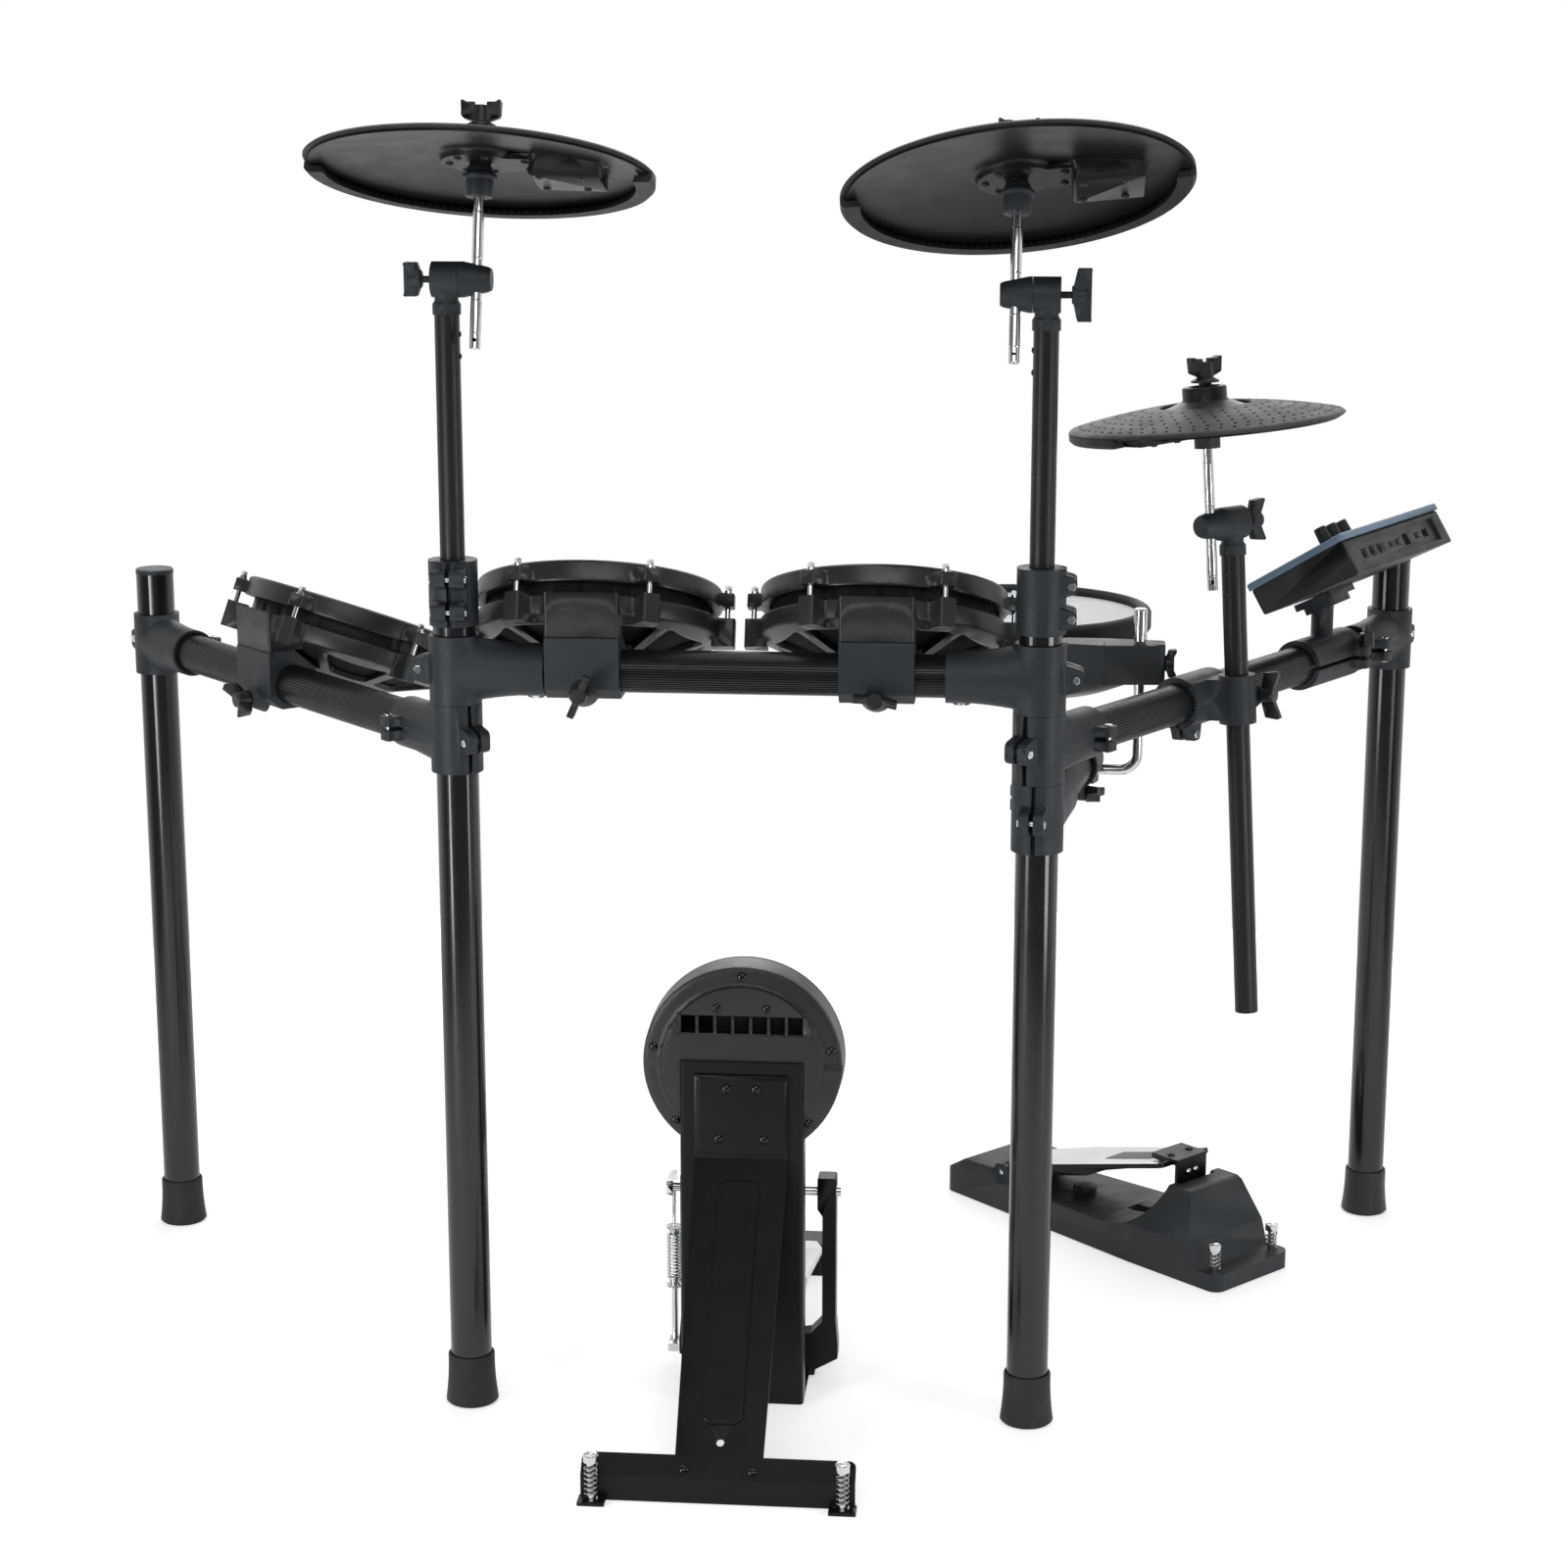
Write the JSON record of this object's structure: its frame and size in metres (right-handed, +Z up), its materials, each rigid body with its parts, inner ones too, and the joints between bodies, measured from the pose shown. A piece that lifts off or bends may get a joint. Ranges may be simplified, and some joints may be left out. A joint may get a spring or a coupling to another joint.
{
  "type": "electronic drum kit",
  "caption": "Compact electronic drum kit on a black four-post rack, with mesh tom and snare pads, rubber cymbal pads, a sound module, a kick tower with pedal and a hi-hat control pedal",
  "frame": {"origin": "on the floor, at the middle of the kit's box", "axes": "X to the right as an onlooker in front sees it, Y towards the drummer, Z up"},
  "size_m": [1.3619, 0.8806, 1.1907],
  "materials": {
    "black_tube": "gloss black powder coat",
    "ribbed_bar": "black ribbed extrusion",
    "fitting_plastic": "matte black moulding",
    "chrome": "bright plating",
    "cymbal_plastic": "satin black",
    "cymbal_rubber": "soft black rubber",
    "knob_plastic": "black",
    "drum_plastic": "satin black",
    "hoop_black": "satin black",
    "mesh_head": "white mesh",
    "module_case": "satin black",
    "module_panel": "slate grey",
    "black_steel": "black powder coat",
    "strike_pad": "black cloth faced rubber",
    "silver_board": "satin silver"
  },
  "bodies": {
    "rack": {"inner_posts": "black_tube", "centre_bar": "ribbed_bar", "centre_fittings": "fitting_plastic", "kick_stand": "black_steel", "kick_pad_housing": "drum_plastic", "kick_pad_face": "strike_pad", "floor_anchors": "chrome", "pedal_frame": "black_steel", "hihat_pedal_base": "fitting_plastic", "pedal_spring": "chrome"},
    "pedal_footboard": {"pedal_footboard": "silver_board"},
    "pedal_link": {"pedal_link": "chrome"},
    "pedal_beater": {"pedal_beater": "chrome"},
    "hihat_footboard": {"hihat_footboard": "silver_board"},
    "left_wing": {"left_wing_bar": "ribbed_bar", "left_outer_post": "black_tube", "left_wing_fittings": "fitting_plastic"},
    "right_wing": {"right_wing_bar": "ribbed_bar", "right_outer_post": "black_tube", "right_wing_fittings": "fitting_plastic"},
    "snare_arm": {"snare_arm_bar": "ribbed_bar", "snare_arm_fittings": "fitting_plastic"},
    "snare_l_rod": {"snare_l_rod": "chrome"},
    "snare": {"snare_shell": "drum_plastic", "snare_rim": "hoop_black", "snare_head": "mesh_head", "snare_bracket": "fitting_plastic"},
    "module": {"module_case": "module_case", "module_panel": "module_panel", "module_mount": "fitting_plastic"},
    "tom_1": {"tom_1_shell": "drum_plastic", "tom_1_hoop": "hoop_black", "tom_1_head": "mesh_head", "tom_1_clamp": "fitting_plastic"},
    "module_knob_1": {"module_knob_1": "knob_plastic"},
    "tom_2": {"tom_2_shell": "drum_plastic", "tom_2_hoop": "hoop_black", "tom_2_head": "mesh_head", "tom_2_clamp": "fitting_plastic"},
    "module_knob_2": {"module_knob_2": "knob_plastic"},
    "tom_3": {"tom_3_shell": "drum_plastic", "tom_3_hoop": "hoop_black", "tom_3_head": "mesh_head", "tom_3_clamp": "fitting_plastic"},
    "module_knob_3": {"module_knob_3": "knob_plastic"},
    "crash_arm": {"crash_arm": "black_tube"},
    "crash_rod": {"crash_rod": "chrome"},
    "crash_cymbal": {"crash_shell": "cymbal_plastic", "crash_pad": "cymbal_rubber"},
    "crash_wing_nut": {"crash_wing_nut": "knob_plastic"},
    "ride_arm": {"ride_arm": "black_tube"},
    "ride_rod": {"ride_rod": "chrome"},
    "ride_cymbal": {"ride_shell": "cymbal_plastic", "ride_pad": "cymbal_rubber"},
    "ride_wing_nut": {"ride_wing_nut": "knob_plastic"},
    "hihat_arm": {"hihat_arm": "black_tube"},
    "hihat_rod": {"hihat_rod": "chrome"},
    "hihat_cymbal": {"hihat_shell": "cymbal_plastic", "hihat_pad": "cymbal_rubber"},
    "hihat_wing_nut": {"hihat_wing_nut": "knob_plastic"}
  },
  "joints": [
    {"name": "left_wing_swing", "type": "hinge", "parent": "rack", "child": "left_wing", "pos_m": [-0.2438, -0.2173, 0.6354], "axis": [0, 0, 1], "range_deg": [-10, 40]},
    {"name": "right_wing_swing", "type": "hinge", "parent": "rack", "child": "right_wing", "pos_m": [0.2742, -0.2173, 0.6354], "axis": [0, 0, 1], "range_deg": [-40, 0]},
    {"name": "snare_arm_swing", "type": "hinge", "parent": "rack", "child": "snare_arm", "pos_m": [0.2742, -0.2173, 0.5734], "axis": [0, 0, 1], "range_deg": [0, 15]},
    {"name": "snare_rod_turn", "type": "hinge", "parent": "snare_arm", "child": "snare_l_rod", "pos_m": [0.31382, 0.0447, 0.558], "axis": [1, 0, 0], "range_deg": [-12, 0]},
    {"name": "snare_height", "type": "slide", "parent": "snare_l_rod", "child": "snare", "axis": [0, 0, 1], "range_m": [-0.03, 0]},
    {"name": "tom_1_tilt", "type": "hinge", "parent": "rack", "child": "tom_1", "pos_m": [-0.1268, -0.2173, 0.6974], "axis": [1, 0, 0], "range_deg": [-20, 10]},
    {"name": "tom_2_tilt", "type": "hinge", "parent": "rack", "child": "tom_2", "pos_m": [0.1322, -0.2173, 0.6974], "axis": [1, 0, 0], "range_deg": [-20, 10]},
    {"name": "tom_3_tilt", "type": "hinge", "parent": "left_wing", "child": "tom_3", "pos_m": [-0.46945, 0.02895, 0.6354], "axis": [0.6756, -0.7373, 0], "range_deg": [-20, 15]},
    {"name": "crash_height", "type": "slide", "parent": "rack", "child": "crash_arm", "axis": [0, 0, 1], "range_m": [-0.12, 0.1]},
    {"name": "crash_tilt", "type": "hinge", "parent": "crash_arm", "child": "crash_rod", "pos_m": [-0.2438, -0.2173, 1.039], "axis": [1, 0, 0], "range_deg": [-25, 25]},
    {"name": "crash_swing", "type": "hinge", "parent": "crash_rod", "child": "crash_cymbal", "pos_m": [-0.2168, -0.19318, 1.12778], "axis": [1, 0, 0], "range_deg": [-8, 8], "stiffness_Nm_per_rad": 3},
    {"name": "crash_nut_turn", "type": "hinge", "parent": "crash_rod", "child": "crash_wing_nut", "pos_m": [-0.2168, -0.19318, 1.12778], "axis": [0, 0.2622, 0.965], "continuous": true},
    {"name": "ride_height", "type": "slide", "parent": "rack", "child": "ride_arm", "axis": [0, 0, 1], "range_m": [-0.12, 0.1]},
    {"name": "ride_tilt", "type": "hinge", "parent": "ride_arm", "child": "ride_rod", "pos_m": [0.2742, -0.2173, 1.029], "axis": [1, 0, 0], "range_deg": [-25, 25]},
    {"name": "ride_swing", "type": "hinge", "parent": "ride_rod", "child": "ride_cymbal", "pos_m": [0.2472, -0.18343, 1.11454], "axis": [1, 0, 0], "range_deg": [-8, 8], "stiffness_Nm_per_rad": 3},
    {"name": "ride_nut_turn", "type": "hinge", "parent": "ride_rod", "child": "ride_wing_nut", "pos_m": [0.2472, -0.18343, 1.11454], "axis": [0, 0.3681, 0.9298], "continuous": true},
    {"name": "hihat_height", "type": "slide", "parent": "right_wing", "child": "hihat_arm", "axis": [-0.0593, 0.0368, 0.9976], "range_m": [-0.03, 0.06]},
    {"name": "hihat_tilt", "type": "hinge", "parent": "hihat_arm", "child": "hihat_rod", "pos_m": [0.44845, 0.00999, 0.80379], "axis": [-0.7649, -0.6437, -0.0217], "range_deg": [-25, 25]},
    {"name": "hihat_swing", "type": "hinge", "parent": "hihat_rod", "child": "hihat_cymbal", "pos_m": [0.42183, -0.00339, 0.89492], "axis": [-0.7649, -0.6437, -0.0217], "range_deg": [-8, 8], "stiffness_Nm_per_rad": 3},
    {"name": "hihat_nut_turn", "type": "hinge", "parent": "hihat_rod", "child": "hihat_wing_nut", "pos_m": [0.42183, -0.00339, 0.89492], "axis": [-0.0649, 0.0434, 0.9969], "continuous": true},
    {"name": "module_tilt", "type": "hinge", "parent": "right_wing", "child": "module", "pos_m": [0.55375, 0.23357, 0.6354], "axis": [0.527, 0.8499, 0], "range_deg": [-10, 10]},
    {"name": "module_knob_1_turn", "type": "hinge", "parent": "module", "child": "module_knob_1", "pos_m": [0.54275, 0.08914, 0.77537], "axis": [-0.469, 0.2369, 0.8508], "range_deg": [-140, 140]},
    {"name": "module_knob_2_turn", "type": "hinge", "parent": "module", "child": "module_knob_2", "pos_m": [0.55447, 0.11235, 0.77537], "axis": [-0.469, 0.2369, 0.8508], "range_deg": [-140, 140]},
    {"name": "module_knob_3_turn", "type": "hinge", "parent": "module", "child": "module_knob_3", "pos_m": [0.56619, 0.13556, 0.77537], "axis": [-0.469, 0.2369, 0.8508], "range_deg": [-140, 140]},
    {"name": "kick_board_press", "type": "hinge", "parent": "rack", "child": "pedal_footboard", "pos_m": [0.0182, 0.1277, 0.024], "axis": [1, 0, 0], "range_deg": [0, 4.5], "stiffness_Nm_per_rad": 12, "springref_deg": -8.59},
    {"name": "kick_link_turn", "type": "hinge", "parent": "pedal_footboard", "child": "pedal_link", "pos_m": [0.0182, -0.1673, 0.092], "axis": [1, 0, 0], "range_deg": [-6.97, 0]},
    {"name": "kick_beater_swing", "type": "hinge", "parent": "rack", "child": "pedal_beater", "pos_m": [0.0182, -0.1333, 0.186], "axis": [1, 0, 0], "range_deg": [0, 38.04], "deforming": ["pedal_spring"]},
    {"name": "hihat_board_press", "type": "hinge", "parent": "rack", "child": "hihat_footboard", "pos_m": [0.2672, 0.3643, 0.04], "axis": [0.682, 0.7314, 0], "range_deg": [0, 5], "stiffness_Nm_per_rad": 10, "springref_deg": -5.73}
  ],
  "couplings": [
    {"joint": "kick_link_turn", "follows": "kick_board_press", "ratio": -1.5332},
    {"joint": "kick_beater_swing", "follows": "kick_board_press", "ratio": 8.4463}
  ]
}
